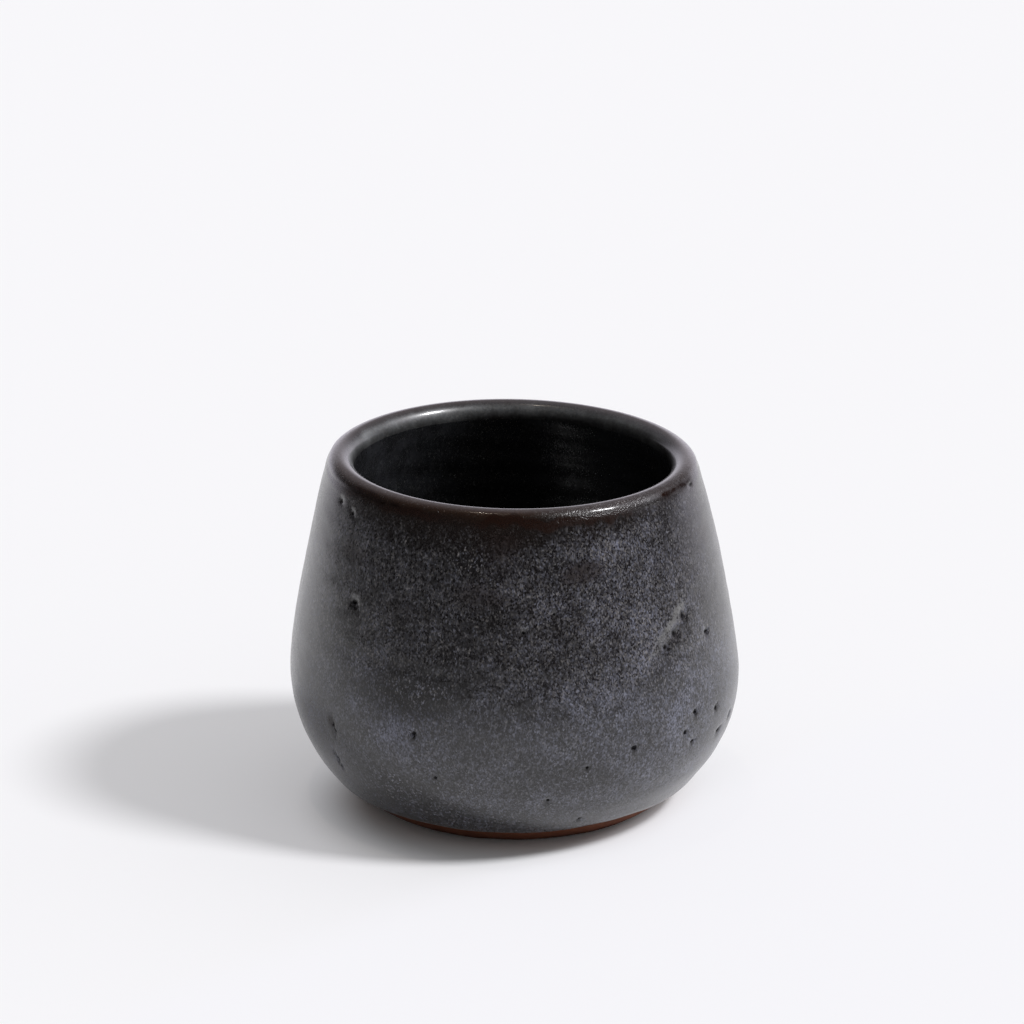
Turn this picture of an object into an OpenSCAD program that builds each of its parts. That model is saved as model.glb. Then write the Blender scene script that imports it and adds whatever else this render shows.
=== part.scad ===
// Stoneware coffee cup without a handle: a thrown clay body, glazed inside and out down to a bare foot.
// All sizes are in millimetres. The origin is the centre of the foot on the table, and +Z is up.

/* [Clay form] */
// Height of the clay from the table to the top of the lip
clay_h = 67.7; // [58:0.1:85]
// Diameter of the clay at the widest line of the belly
belly_d = 85; // [78:0.5:95]
// Height of the widest line of the belly above the table
belly_h = 25.5; // [21:0.5:30]
// Height over which the shoulder turns from upright to the lean of the wall
shoulder_rise = 8; // [3:0.5:15]
// Outside diameter of the clay at the lip
lip_d = 69.8; // [60:0.2:80]
// Diameter of the foot on the table
foot_d = 54.6; // [46:0.2:62]

/* [Clay thickness] */
// Thickness of the wall, whose top is rounded over to make the lip
wall_t = 4.6; // [3.6:0.1:5.6]
// Thickness of the floor above the recess in the foot
floor_t = 4.6; // [3.5:0.1:7]
// Radius of the curve from the floor to the wall, inside
floor_curve_r = 10; // [5:0.5:14]

/* [Foot] */
// Width of the ring that the cup stands on
ring_w = 6; // [4:0.5:9]
// Depth of the recess trimmed out inside the ring
recess_depth = 1.6; // [0.8:0.1:2.5]
// Width of the ring's edges that were softened with a sponge
soft_edge = 0.6; // [0.3:0.1:1.2]

/* [Glaze] */
// Height of the glaze line above the table, with bare clay below it
glaze_line_h = 4.6; // [3:0.1:8]
// Thickness of the bead where the glaze stopped running
bead_t = 0.65; // [0.55:0.05:1.2]
// Width of the bead's round nose, along the clay
bead_w = 1.2; // [0.8:0.1:2]
// Height above the glaze line at which the bead has thinned to the coat
bead_fade_h = 9; // [5:0.5:14]
// Thickness of the outer coat on the wall
coat_t = 0.5; // [0.3:0.05:0.55]
// Thickness of the glaze over the lip, where it has run thin
lip_coat_t = 0.3; // [0.15:0.05:0.45]
// Height below the lip at which the coats start to thin
break_h = 7; // [4:0.5:12]
// Thickness of the liner glaze on the inside wall
liner_t = 0.4; // [0.25:0.05:0.7]
// Thickness of the liner glaze where it has pooled on the floor
pool_t = 0.8; // [0.5:0.05:1.5]
// Height above the floor at which the pool has thinned to the liner
pool_fade_h = 6; // [3:0.5:10]

/* [Hidden] */
$fn = 128;

// Straight steps that stand for each curve of the outline
bare_steps = 4;
bead_steps = 5;
belly_steps = 14;
wall_steps = 10;
lip_steps = 12;
floor_steps = 8;
cove_steps = 4;
soft_steps = 3;

// A station is a point of the outline with the unit vector that points out of the clay there.
function unit(v) = v / norm(v);
function direction(angle) = [cos(angle), sin(angle)];
function points(stations) = [for (s = stations) s[0]];
function tail(list) = [for (i = [1:1:len(list) - 1]) list[i]];
function reversed(list) = [for (i = [len(list) - 1:-1:0]) list[i]];
function last(list) = list[len(list) - 1];

// Stations along a round stretch, facing away from its centre, or towards it where side is -1
function arc(centre, r, from, to, steps, side = 1) =
    [for (i = [0:steps]) let (u = direction(from + (to - from) * i / steps)) [centre + r * u, side * u]];

// A curve with its ends at a and c that leaves a and reaches c in line with b
function bent(a, b, c, t) = (1 - t) ^ 2 * a + 2 * t * (1 - t) * b + t ^ 2 * c;
function bent_direction(a, b, c, t) = unit((1 - t) * (b - a) + t * (c - b));

// Points that round the corner at b, from a to c
function softened(a, b, c) = [for (i = [0:soft_steps]) bent(a, b, c, i / soft_steps)];

// The lower belly is one arc, upright at its widest line, that comes in to the foot on the table.
foot_r = foot_d / 2;
belly_r = belly_d / 2;
belly_arc_r = ((belly_r - foot_r) ^ 2 + belly_h ^ 2) / (2 * (belly_r - foot_r));
belly_centre = [belly_r - belly_arc_r, belly_h];
function belly_angle(height) = -asin((belly_h - height) / belly_arc_r);
function belly_turn(length) = length / belly_arc_r * 180 / PI;

// The lip is a full round of the wall's own thickness, and the wall runs up to it in line.
lip_round_r = wall_t / 2;
lip_centre = [lip_d / 2 - lip_round_r, clay_h - lip_round_r];
shoulder = [belly_r, belly_h + shoulder_rise];
to_lip = lip_centre - shoulder;
wall_lean = atan2(-to_lip[0], to_lip[1]) - asin(lip_round_r / norm(to_lip));
wall_foot = [belly_r, belly_h];
wall_top = lip_centre + lip_round_r * direction(wall_lean);

function wall_station(t) = let (d = bent_direction(wall_foot, shoulder, wall_top, t))
    [bent(wall_foot, shoulder, wall_top, t), [d[1], -d[0]]];

// Outside of the clay, from the softened edge of the foot up to the lip
foot_angle = belly_angle(0) + belly_turn(soft_edge);
glaze_angle = belly_angle(glaze_line_h);
bead_top_angle = glaze_angle + belly_turn(bead_w);

bare_foot = arc(belly_centre, belly_arc_r, foot_angle, glaze_angle, bare_steps);
bead = [for (i = [0:bead_steps])
    let (u = direction(glaze_angle + belly_turn(bead_w * (1 - cos(90 * i / bead_steps)))))
    [belly_centre + belly_arc_r * u, u]];
belly = arc(belly_centre, belly_arc_r, bead_top_angle, 0, belly_steps);
wall = [for (i = [0:wall_steps]) wall_station(i / wall_steps)];
glazed_outside = concat(tail(belly), tail(wall));

// Over the lip and down the inside, one wall thickness in, to the middle of the floor
floor_z = recess_depth + floor_t;
inner_arc_r = belly_arc_r - wall_t;
floor_curve_rise = belly_h - floor_z - floor_curve_r;
floor_curve_angle = -asin(floor_curve_rise / (inner_arc_r - floor_curve_r));
floor_curve_centre = belly_centre + (inner_arc_r - floor_curve_r) * direction(floor_curve_angle);

lip = arc(lip_centre, lip_round_r, wall_lean, wall_lean + 180, lip_steps);
wall_inside = [for (s = reversed(wall)) [s[0] - wall_t * s[1], -s[1]]];
belly_inside = arc(belly_centre, inner_arc_r, 0, floor_curve_angle, belly_steps, -1);
floor_curve = arc(floor_curve_centre, floor_curve_r, floor_curve_angle, -90, floor_steps, -1);
floor_middle = [[0, floor_z], [0, 1]];
inside = concat(wall_inside, tail(belly_inside), tail(floor_curve), [floor_middle]);

// Underside: a standing ring with softened edges, coved up to the recess inside it
recess_r = foot_r - ring_w;
cove_r = recess_depth - soft_edge / 2;
cove = arc([recess_r - cove_r, recess_depth - cove_r], cove_r, 90, 0, cove_steps, -1);
ring_inner_edge = softened(last(cove)[0], [recess_r, 0], [recess_r + soft_edge, 0]);
ring_outer_edge = softened([foot_r - soft_edge, 0], [foot_r, 0], bare_foot[0][0]);

// Points of a coat's free face, raised off the clay by the thickness at each station
function raised(stations, thickness) =
    [for (i = [0:len(stations) - 1]) stations[i][0] + thickness[i] * stations[i][1]];

// Thickness of the coats by height: thick where they ran down and gathered, thin where they left the lip
outer_thickness = [
    [last(bead)[0][1], bead_t], [glaze_line_h + bead_fade_h, coat_t],
    [wall_top[1] - break_h, coat_t], [wall_top[1], lip_coat_t]];
liner_thickness = [
    [floor_z, pool_t], [floor_z + pool_fade_h, liner_t],
    [inside[0][0][1] - break_h, liner_t], [inside[0][0][1], lip_coat_t]];

module turned_solid(outline) {
    rotate_extrude() polygon(outline);
}

module clay_body() {
    color("#7a4a2c") turned_solid(concat(
        [[0, recess_depth]], points(cove), tail(ring_inner_edge), ring_outer_edge,
        points(tail(bare_foot)), points(tail(bead)), points(glazed_outside),
        points(tail(lip)), points(tail(inside))));
}

module outer_glaze() {
    stations = concat(bead, glazed_outside);
    bead_face = [for (i = [0:bead_steps]) bead_t * sin(90 * i / bead_steps)];
    coat_face = [for (s = glazed_outside) lookup(s[0][1], outer_thickness)];
    free_face = raised(stations, concat(bead_face, coat_face));
    color("#464a52") turned_solid(concat(points(stations), reversed(tail(free_face))));
}

module lip_glaze() {
    free_face = raised(lip, [for (s = lip) lip_coat_t]);
    color("#4a342a") turned_solid(concat(points(lip), reversed(free_face)));
}

module liner_glaze() {
    free_face = raised(inside, [for (s = inside) lookup(s[0][1], liner_thickness)]);
    color("#15161a") turned_solid(concat(points(inside), reversed(free_face)));
}

clay_body();
outer_glaze();
lip_glaze();
liner_glaze();
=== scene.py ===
# %% [markdown]
# # A wheel-thrown stoneware cup
# The cup is a small tumbler without a handle, in a dark speckled glaze. A potter throws the
# clay body on a wheel, trims a foot ring under it, pours a black liner inside, and dips the
# outside in a second glaze that thins and turns brown over the lip. The CAD frame holds
# those four pieces as plain turned solids. This lesson reads their outlines from the frame
# and builds the same four pieces again, finely enough to carry what hand and kiln leave.

# %% Load the CAD frame
import math
from collections import namedtuple

import bpy
import numpy as np
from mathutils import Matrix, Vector


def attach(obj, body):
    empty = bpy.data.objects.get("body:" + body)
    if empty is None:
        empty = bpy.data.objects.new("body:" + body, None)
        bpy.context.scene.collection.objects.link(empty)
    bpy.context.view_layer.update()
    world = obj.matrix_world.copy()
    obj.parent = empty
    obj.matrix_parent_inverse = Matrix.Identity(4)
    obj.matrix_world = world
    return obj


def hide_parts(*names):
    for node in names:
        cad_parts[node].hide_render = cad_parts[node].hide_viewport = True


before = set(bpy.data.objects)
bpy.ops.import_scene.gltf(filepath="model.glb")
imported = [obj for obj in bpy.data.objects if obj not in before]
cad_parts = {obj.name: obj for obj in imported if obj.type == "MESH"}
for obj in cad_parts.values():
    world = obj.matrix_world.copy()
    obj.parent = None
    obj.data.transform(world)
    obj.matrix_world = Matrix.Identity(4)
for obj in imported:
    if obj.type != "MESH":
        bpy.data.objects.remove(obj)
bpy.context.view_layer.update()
MM = 0.001

# %% [markdown]
# ## The camera
# The photograph is a product shot through a long lens, from about 19 degrees above the
# table. The camera comes before the cup, because the marks in the glaze are placed by
# looking through it: a pixel of the photograph becomes a spot on the wall.

# %% Set up the camera
PHOTO_PX = 1024
FOCAL_PX = 5739.8
CAMERA_PLACE = (-0.00032, -1.03166, 0.41668)
CAMERA_DIP = math.radians(19.265)

camera_data = bpy.data.cameras.new("camera")
camera_data.lens = camera_data.sensor_width * FOCAL_PX / PHOTO_PX
camera = bpy.data.objects.new("camera", camera_data)
camera.location = CAMERA_PLACE
camera.rotation_euler = (math.pi / 2 - CAMERA_DIP, 0.0, 0.0)
bpy.context.scene.collection.objects.link(camera)
bpy.context.scene.camera = camera
print(f"camera with a {camera_data.lens:.1f} mm lens")

# %% [markdown]
# ## Outlines from the frame
# Each CAD piece is turned about the upright axis, so one cut through it tells its whole
# shape. The mesh of a turned solid has a seam where the turn starts, in the half-plane
# y = 0. Walking the edges along that seam gives the outline, as radius and height in mm.

# %% Read the outline of a turned piece
NEAR_SEAM = 0.001


def outline_of(node_name):
    """The (radius, height) points of a turned CAD piece, in order along its seam."""
    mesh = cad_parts[node_name].data
    neighbours = {}
    for edge in mesh.edges:
        ends = [mesh.vertices[i].co / MM for i in edge.vertices]
        if all(abs(end.y) < NEAR_SEAM and end.x > -NEAR_SEAM for end in ends):
            a, b = [(round(end.x, 2), round(end.z, 2)) for end in ends]
            if a != b:
                neighbours.setdefault(a, set()).add(b)
                neighbours.setdefault(b, set()).add(a)
    loose_ends = [point for point in neighbours if len(neighbours[point]) == 1]
    walk = [min(loose_ends or neighbours, key=lambda point: point[1])]
    while True:
        ahead = sorted(point for point in neighbours[walk[-1]] if point not in walk)
        if not ahead:
            return np.array(walk)
        walk.append(ahead[0])


clay_outline = outline_of("clay_body")
print("clay outline:", len(clay_outline), "points")

# %% [markdown]
# A glaze coat has two faces: one on the clay, and one that is seen and felt. The seen faces
# of the outer glaze, the lip and the liner meet end to end. Joined, they make one line from
# the glaze line at the foot, up the wall, over the lip, down the inside and across the floor.
# Building one skin from that line and cutting it up afterwards hides the joints.

# %% Join the seen faces of the three glazes
TOUCHING = 0.03
RADIUS = 0
HEIGHT = 1


def gap_to_clay(point):
    """How far a point of an outline is from the clay, in mm."""
    start = clay_outline[:-1]
    along = clay_outline[1:] - start
    t = ((point - start) * along).sum(1) / (along**2).sum(1)
    nearest = start + np.clip(t, 0, 1)[:, None] * along
    return np.hypot(*(nearest - point).T).min()


def split_faces(node_name, column, rising):
    """The seen points of a coat, ordered so that a column rises or falls, and those on the clay."""
    loop = outline_of(node_name)
    seen = np.array([gap_to_clay(point) > TOUCHING for point in loop])
    first_seen = next(i for i in range(len(loop)) if seen[i] and not seen[i - 1])
    loop = np.roll(loop, -first_seen, axis=0)
    seen = np.roll(seen, -first_seen)
    seen_points = loop[seen]
    rises = seen_points[0, column] < seen_points[-1, column]
    return seen_points if rises == rising else seen_points[::-1], loop[~seen]


outer_seen, outer_on_clay = split_faces("outer_glaze", HEIGHT, rising=True)
lip_seen, lip_on_clay = split_faces("lip_glaze", RADIUS, rising=False)
liner_seen, liner_on_clay = split_faces("liner_glaze", HEIGHT, rising=False)
glaze_line = outer_on_clay[outer_on_clay[:, HEIGHT].argmin()]
skin_points = np.vstack([glaze_line, outer_seen, lip_seen[1:], liner_seen[1:]])
print("glaze line at height", glaze_line[HEIGHT], "mm; skin of", len(skin_points), "points")

# %% [markdown]
# The CAD outline is drawn in short straight steps. A cubic curve through the same points
# takes the facets out, and measuring along that curve gives every spot on the skin one
# handy coordinate: how many mm of glaze lie between it and the glaze line.

# %% Smooth the skin line
class SmoothLine:
    """A smooth curve through points, looked up by the distance along it in mm."""

    def __init__(self, points, step=0.05):
        reach = np.r_[0, np.cumsum(np.hypot(*np.diff(points, axis=0).T))]
        slope = np.gradient(points, reach, axis=0)
        at = np.linspace(0, reach[-1], int(reach[-1] / step))
        i = np.clip(np.searchsorted(reach, at, side="right") - 1, 0, len(reach) - 2)
        span = (reach[i + 1] - reach[i])[:, None]
        t = (at - reach[i])[:, None] / span
        self.line = (1 + 2 * t) * (1 - t) ** 2 * points[i] + t**2 * (3 - 2 * t) * points[i + 1]
        self.line += t * (1 - t) * span * ((1 - t) * slope[i] - t * slope[i + 1])
        self.s = np.r_[0, np.cumsum(np.hypot(*np.diff(self.line, axis=0).T))]
        self.length = self.s[-1]
        along = np.gradient(self.line, self.s, axis=0)
        self.out = np.stack([along[:, 1], -along[:, 0]], axis=1)

    def place(self, s):
        """Radius, height and outward direction (radial, upward) at distances s."""
        r, z = [np.interp(s, self.s, column) for column in self.line.T]
        out_r, out_z = [np.interp(s, self.s, column) for column in self.out.T]
        return r, z, out_r, out_z

    def distance_of(self, point):
        """The distance along the line of the spot nearest to a point."""
        return self.s[np.hypot(*(self.line - point).T).argmin()]


skin = SmoothLine(skin_points)
lip_start = skin.distance_of(lip_seen[0])
lip_end = skin.distance_of(lip_seen[-1])
crest = skin.s[skin.line[:, HEIGHT].argmax()]
print(f"skin {skin.length:.1f} mm long, lip from {lip_start:.1f} to {lip_end:.1f}, crest {crest:.1f}")

# %% [markdown]
# ## Marks seen in the photograph
# The kiln leaves pinholes where gas bubbles through the melt, and handling leaves a scuff
# and two gouges. Each is noted by the pixel where the photograph shows it. A ray from the
# camera through that pixel meets the CAD wall, and the hit gives an angle and a distance
# along the skin, so the mark stays on the wall from any side.

# %% Find the spot behind a pixel
depsgraph = bpy.context.evaluated_depsgraph_get()
wall_part = skin.s < crest


def spot_behind(px, py):
    """The angle round the cup and the distance along the skin of a pixel of the photograph."""
    ray = Vector((px - PHOTO_PX / 2, PHOTO_PX / 2 - py, -FOCAL_PX))
    ray.rotate(camera.rotation_euler)
    for node_name in ("outer_glaze", "lip_glaze"):
        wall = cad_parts[node_name]
        hit, place, _, _ = wall.ray_cast(camera.location, ray.normalized(), depsgraph=depsgraph)
        if hit and place.y < 0:
            break
    else:
        raise ValueError(f"pixel {px}, {py} is not on the wall")
    s = np.interp(place.z / MM, skin.line[wall_part, HEIGHT], skin.s[wall_part])
    return math.atan2(place.y, place.x), s


WALL_MIDDLE = (512, 640)
print("middle of the wall:", [round(float(value), 2) for value in spot_behind(*WALL_MIDDLE)])

# %% [markdown]
# Pinholes are round pits about a millimetre wide, and three longer chips lie beside the
# scuff. The photograph doesn't show the back, so pinholes are scattered there at random.
# The random numbers start from a fixed seed, so every run gives the same cup.

# %% List the pinholes and the chips
# A pit: its place on the skin, its half sizes in mm, its tilt, and how strongly painted shade fills its
# middle.
Pit = namedtuple("Pit", "angle s half_width half_length tilt black")
MM_PER_PX = camera.location.length / MM / FOCAL_PX
HALF_PIT = 0.46
CHIP_PIT_SHADE = 0.62
UNSEEN_PINHOLES = 46
LEAST_FACING = 0.35

# Pixel x, pixel y, width and height in pixels of each pinhole and each chip.
PINHOLES = [
    (355, 603, 6, 6), (413, 734, 5, 5), (434, 779, 5, 4), (634, 748, 7, 6), (587, 768, 4, 4),
    (547, 801, 4, 4), (578, 819, 4, 3), (695, 711, 4, 6), (715, 707, 3, 6), (727, 714, 3, 6),
    (716, 730, 4, 6), (685, 732, 4, 5), (691, 741, 4, 5), (706, 630, 4, 5), (555, 614, 3, 3),
    (524, 633, 4, 4), (343, 503, 3, 5), (354, 515, 3, 5), (690, 482, 4, 4),
]
CHIPS = [(683, 614, 6, 15), (675, 632, 8, 13), (666, 646, 7, 10)]


def facing_camera(angle):
    """How squarely the wall at an angle faces the camera: 1 in front, less at the sides."""
    return max(LEAST_FACING, -math.sin(angle))


pinholes = []
for holes, black in ((PINHOLES, 1.0), (CHIPS, CHIP_PIT_SHADE)):
    for px, py, width, tall in holes:
        angle, s = spot_behind(px, py)
        half_width = HALF_PIT * width * MM_PER_PX / facing_camera(angle)
        pinholes.append(Pit(angle, s, half_width, HALF_PIT * tall * MM_PER_PX, 0.0, black))
rng = np.random.default_rng(11)
for _ in range(UNSEEN_PINHOLES):
    angle = rng.uniform(math.radians(5), math.radians(175))
    s = rng.uniform(6, lip_start - 14)
    half_width = rng.uniform(0.2, 0.5)
    half_length = half_width * rng.uniform(1.0, 1.4)
    pinholes.append(Pit(angle, s, half_width, half_length, 0.0, 1.0))
print(len(pinholes), "pinholes in the outer glaze,", UNSEEN_PINHOLES, "of them at the back")

# %% [markdown]
# A gouge is a pit too, only long and tilted. It runs between two pixels, so its length and
# its tilt on the wall come from the two spots behind them.

# %% List the gouges
# Start and end pixel and width in mm of each gouge.
GOUGES = [((331, 718), (335, 735), 0.45), ((334, 752), (341, 766), 0.3)]

gouges = []
for start, end, width in GOUGES:
    angle_a, s_a = spot_behind(*start)
    angle_b, s_b = spot_behind(*end)
    middle_s = 0.5 * (s_a + s_b)
    across = (angle_a - angle_b) * skin.place(middle_s)[0]
    up = s_a - s_b
    half_length = 0.5 * math.hypot(across, up)
    tilt = math.atan2(across, up)
    gouges.append(Pit(0.5 * (angle_a + angle_b), middle_s, 0.5 * width, half_length, tilt, 1.0))
pits = pinholes + gouges
print(len(gouges), "gouges on the left")

# %% [markdown]
# ## The skin
# A grid of rings and columns follows the skin line round the cup. Its rings are close where
# the shape turns sharply, at the bead of the glaze line and over the lip, and wider on the
# wall and in the liner.

# %% Lay out the grid
COLUMNS = 480
BEAD_LENGTH = 2.4
AXIS_GAP = 0.3


def spaced(start, end, step):
    """Evenly spaced distances from start to end, about one step apart."""
    return np.linspace(start, end, max(2, round((end - start) / step) + 1))


bead_rings = spaced(0, BEAD_LENGTH, step=0.15)
wall_rings = spaced(BEAD_LENGTH, lip_start, step=0.5)[1:]
lip_rings = spaced(lip_start, lip_end, step=0.22)[1:]
liner_rings = spaced(lip_end, skin.length - AXIS_GAP, step=0.8)[1:]
ring_s = np.concatenate([bead_rings, wall_rings, lip_rings, liner_rings])
lip_from = len(bead_rings) + len(wall_rings) - 1
lip_to = lip_from + len(lip_rings)
column_angle = np.arange(COLUMNS) * 2 * math.pi / COLUMNS
grid_s, grid_angle = np.meshgrid(ring_s, column_angle, indexing="ij")
print(len(ring_s), "rings of", COLUMNS, "columns")

# %% [markdown]
# Even spacing would need millions of faces to show a pinhole with a clean edge. Near each
# pit the grid is drawn together instead: the columns and rings bend towards it, like cloth
# gathered by a stitch.

# %% Gather the grid at the pits
GATHER = 0.78
GATHER_ACROSS = 4.5
GATHER_ALONG = 3.5


def offsets(angle, s, tilt=0.0):
    """How far each grid point is from a spot, across and along its tilt, in mm."""
    turn = (grid_angle - angle + math.pi) % (2 * math.pi) - math.pi
    round_the_cup = turn * skin.place(s)[0]
    up = grid_s - s
    across = round_the_cup * math.cos(tilt) - up * math.sin(tilt)
    along = up * math.cos(tilt) + round_the_cup * math.sin(tilt)
    return across, along


for pit in pits:
    across, along = offsets(pit.angle, pit.s, pit.tilt)
    across_share = across / (GATHER_ACROSS * pit.half_width)
    along_share = along / (GATHER_ALONG * pit.half_length)
    pull = GATHER * np.clip(1 - across_share**2 - along_share**2, 0, 1) ** 2
    shift_round = -pull * (across * math.cos(pit.tilt) + along * math.sin(pit.tilt))
    shift_up = -pull * (along * math.cos(pit.tilt) - across * math.sin(pit.tilt))
    grid_angle += shift_round / skin.place(pit.s)[0]
    grid_s += shift_up
print("grid gathered at", len(pits), "pits")

# %% [markdown]
# ## What the hand leaves
# A thrown wall is never a pure turned shape. Fingers leave a faint spiral, the rim dries a
# little oval, and glaze runs and pools. A handful of waves with whole numbers of turns,
# added up, gives such a wandering field that also closes without a step behind the cup.

# %% Helpers for fields on the skin
def wander(angle, s, turns, length, seed, count=14):
    """A smooth random field of about unit strength on the skin.

    It has at most `turns` waves round the cup, and waves of `length` mm or more along it."""
    waves = np.random.default_rng(seed)
    total = np.zeros(np.broadcast(angle, s).shape)
    for _ in range(count):
        round_the_cup = waves.integers(0, turns + 1)
        up_the_wall = waves.uniform(-2 * math.pi, 2 * math.pi) / length
        total += np.cos(round_the_cup * angle + up_the_wall * s + waves.uniform(0, 2 * math.pi))
    return total * math.sqrt(2 / count)


def wander_round(angle, turns, seed):
    """A wandering line round the cup, the same at every height."""
    return wander(angle, 0.0, turns, 1.0, seed)


def fade(value, start, end):
    """0 at start, 1 at end, with a soft step between."""
    t = np.clip((value - start) / (end - start), 0, 1)
    return t * t * (3 - 2 * t)


def hump(value, middle, breadth, power=2):
    """1 in the middle and next to nothing two breadths away, boxier with more power."""
    return np.exp(-(((value - middle) / breadth) ** power))


below_lip = crest - grid_s
print(f"the wall reaches {below_lip.max():.1f} mm below the crest of the lip")

# %% [markdown]
# The relief is how far, in mm, the skin stands out from the smooth line. It has the spiral
# of finger ridges, faint outside and strong inside, slow and quick unevenness, and a shallow
# groove where the roll of the lip breaks to the wall.

# %% Add the ridges and the groove
GROOVE_BELOW = 3.0
GROOVE_DEPTH = 0.09
GROOVE_BREADTH = 0.65

inside = fade(-below_lip, 2, 8)
outside = fade(below_lip, 3, 9) * fade(grid_s, 0.5, 3)
spiral = grid_s + 1.2 * wander(grid_angle, grid_s, turns=2, length=60, seed=3)


def finger_ridges(depth, pitch):
    """A spiral of ridges, in mm."""
    return depth * np.sin(2 * math.pi * spiral / pitch + grid_angle)


relief = outside * finger_ridges(depth=0.008, pitch=5.2)
relief += inside * finger_ridges(depth=0.06, pitch=4.6)
relief += 0.025 * outside * wander(grid_angle, grid_s, turns=7, length=22, seed=5)
relief += 0.006 * outside * wander(grid_angle, grid_s, turns=60, length=3.2, seed=7, count=40)
relief += 0.010 * inside * wander(grid_angle, grid_s, turns=40, length=4, seed=8, count=30)
groove = GROOVE_BELOW + 0.3 * wander_round(grid_angle, turns=9, seed=9)
relief -= GROOVE_DEPTH * hump(below_lip, groove, GROOVE_BREADTH)
print(f"relief from {relief.min():.2f} to {relief.max():.2f} mm")

# %% [markdown]
# A pit has steep sides and a flat bottom, and lies in a wide, shallow dimple below it, where
# glaze drained towards the hole. Near the lip the coat is thin, so pits there are shallower,
# and no clay shows in them. How near a point is to a pit is kept, to paint shade into the pit later.

# %% Press in the pits
PIT_DEPTH = 0.38
LIP_PIT_DEPTH = 0.20
THIN_COAT = 6.0
PIT_REACH = 1 / 0.95
DIMPLE_DEPTH = 0.06
DIMPLE_ACROSS = 2.3
DIMPLE_ALONG = 2.4

pit_nearness = np.full_like(relief, -1.0)
for pit in pits:
    across, along = offsets(pit.angle, pit.s, pit.tilt)
    distance = np.hypot(across / pit.half_width, along / pit.half_length)
    depth = PIT_DEPTH if pit.s < lip_start - THIN_COAT else LIP_PIT_DEPTH
    relief -= depth * hump(distance, 0.0, PIT_REACH, power=4)
    if pit in pinholes:
        dimple_across = across / (DIMPLE_ACROSS * pit.half_width)
        dimple_along = (along + pit.half_length) / (DIMPLE_ALONG * pit.half_length)
        dimple = np.exp(-(dimple_across**2) - dimple_along**2)
        relief -= DIMPLE_DEPTH * depth / PIT_DEPTH * dimple
    pit_nearness = np.maximum(pit_nearness, pit.black - distance)
print(f"deepest pit {relief.min():.2f} mm")

# %% [markdown]
# ## Fields for the finishes
# Some things change slowly over the glaze: how thick it is, how cloudy, how dry. Each is a
# field, one value for each grid point. A Blender mesh can carry it as an attribute of its
# vertices, which the material reads. Most fields are painted in soft patches.

# %% Helpers for painting
def paint(field, angle, s, half_width, half_height, amount):
    """Adds a soft patch to a field, with its half sizes in mm."""
    across, along = offsets(angle, s)
    field += amount * np.exp(-((across / half_width) ** 2) - (along / half_height) ** 2)


def paint_patches(field, patches):
    """Adds patches, each a pixel x and y, a half width and height in mm, and an amount."""
    for px, py, half_width, half_height, amount in patches:
        paint(field, *spot_behind(px, py), half_width, half_height, amount)


print("a field has", grid_s.size, "values")

# %% [markdown]
# Pale crystals cloud the glaze like milk, most on the lower belly, where it came to rest.
# The clouds of this cup are followed roughly, patch by patch, and the same patches paint
# light and shade: the right, which the lamp lights, is painted paler, and the lower left is
# painted darker, as painted shade and a painted reflection of the floor's shadow. There is
# little milk just below a pinhole, where the melt drained, and a painted highlight on its rim
# above, a little to the left.

# %% Paint the milk
# Distance below the crest of the lip in mm, inside where it is negative, and the milk there.
MILK_BANDS = [
    (-9, 0.0), (-5, 0.10), (-3.5, 0.2), (-2.5, 0.33), (-0.6, 0.33), (0, 0.1), (6, 0.0), (10, 0.04),
    (17, 0.09), (29, 0.08), (36, 0.09), (44, 0.12), (52, 0.14), (57, 0.14), (63, 0.08), (69, 0.0),
]
# Each patch: pixel x, pixel y, half width and height in mm, and amount; clouds, painted light and
# painted shade.
MILK_AND_LIGHT_PATCHES = [
    (399, 736, 8.3, 6.2, 0.115), (345, 619, 3.5, 1.8, -0.12), (353, 643, 0.7, 2.0, -0.12),
    (372, 638, 0.5, 1.3, -0.12), (524, 622, 1.0, 0.9, 0.15), (605, 548, 6.0, 4.0, 0.22),
    (640, 530, 5.0, 3.0, 0.14), (650, 650, 9.0, 14.0, 0.13), (450, 550, 8.0, 4.0, -0.06),
    (380, 795, 9.0, 6.0, -0.30), (445, 818, 10.0, 4.0, -0.22), (430, 690, 8.0, 5.0, -0.11),
    (470, 655, 6.0, 5.0, -0.08), (469, 560, 3.9, 3.0, -0.28), (600, 690, 8.0, 8.0, 0.11),
    (690, 700, 6.0, 9.0, 0.10), (573, 778, 7.2, 3.3, -0.17), (400, 610, 9.0, 6.0, -0.06),
    (546, 545, 4.2, 3.0, 0.155), (520, 818, 5.0, 3.0, -0.08), (350, 735, 5.0, 5.0, -0.07),
    (385, 780, 6.0, 4.0, -0.06), (622, 812, 5.0, 3.0, 0.10), (403, 699, 7.0, 4.0, -0.25),
    (430, 782, 6.0, 3.0, -0.06), (620, 590, 6.0, 5.0, 0.08), (600, 658, 4.0, 3.0, -0.06),
    (695, 640, 6.0, 8.0, 0.10), (668, 742, 5.0, 4.0, 0.08), (535, 636, 7.0, 4.0, 0.06),
    (575, 700, 7.0, 4.0, 0.05), (410, 783, 6.9, 3.0, -0.16), (510, 784, 5.0, 3.0, -0.06),
    (500, 818, 8.0, 2.5, -0.10), (350, 600, 3.0, 2.5, 0.06), (350, 550, 3.0, 4.0, -0.06),
    (350, 632, 3.0, 2.0, -0.05), (590, 630, 3.0, 3.0, 0.06), (590, 780, 5.0, 3.0, -0.05),
    (372, 650, 9.0, 8.0, 0.07),
]

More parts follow.
